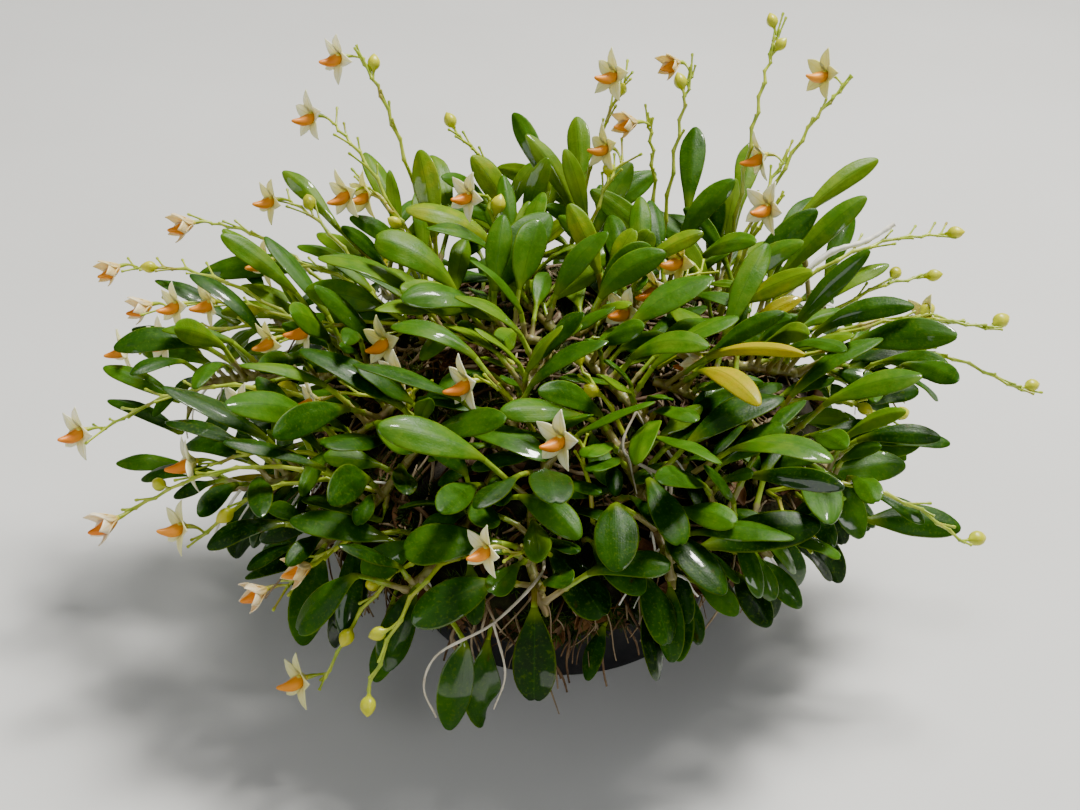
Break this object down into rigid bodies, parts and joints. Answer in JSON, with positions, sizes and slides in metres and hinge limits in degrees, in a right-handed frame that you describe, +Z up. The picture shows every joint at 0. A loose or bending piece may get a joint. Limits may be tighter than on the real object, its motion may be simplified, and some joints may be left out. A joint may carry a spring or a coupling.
{
  "type": "potted miniature orchid",
  "caption": "Miniature creeping orchid in a low plain pot: a mound of small glossy leaves with thin sprays of pale star flowers that have orange lips.",
  "frame": {"origin": "centre of the underside of the pot's flat base", "axes": "+Z up along the pot's axis, -Y towards the front of the plant, +X to the right seen from the front"},
  "size_m": [0.1966, 0.1309, 0.1056],
  "materials": {
    "pot": "satin black moulded plastic",
    "mix": "rough dark bark",
    "mound": "rough moss, bark and brown roots",
    "leaf": "glossy green leaf",
    "spray": "soft pale petals on yellow-green stalks",
    "root": "matt pale root"
  },
  "bodies": {
    "root": {"pot": "pot", "potting_mix": "mix", "root_mound": "mound", "aerial_root": "root", "runner": "root", "bent_root": "root", "shoot_01": "leaf", "shoot_02": "leaf", "shoot_03": "leaf", "shoot_04": "leaf", "shoot_05": "leaf", "shoot_06": "leaf", "shoot_07": "leaf", "shoot_08": "leaf", "shoot_09": "leaf", "shoot_10": "leaf", "shoot_11": "leaf", "shoot_12": "leaf", "shoot_13": "leaf", "shoot_14": "leaf", "shoot_15": "leaf", "shoot_16": "leaf", "shoot_17": "leaf", "shoot_18": "leaf", "spray_01": "spray", "spray_02": "spray", "spray_03": "spray", "spray_04": "spray", "spray_05": "spray", "spray_06": "spray", "spray_07": "spray", "spray_08": "spray", "spray_09": "spray", "spray_10": "spray", "spray_11": "spray", "spray_12": "spray", "spray_13": "spray", "spray_14": "spray", "spray_15": "spray", "spray_16": "spray", "spray_17": "spray", "spray_18": "spray", "spray_19": "spray", "spray_20": "spray", "spray_21": "spray", "spray_22": "spray", "spray_23": "spray", "spray_24": "spray", "spray_25": "spray", "spray_26": "spray", "spray_27": "spray", "spray_28": "spray", "spray_29": "spray", "spray_30": "spray", "spray_31": "spray", "spray_32": "spray", "spray_33": "spray", "spray_34": "spray", "spray_35": "spray", "spray_36": "spray"}
  },
  "joints": []
}
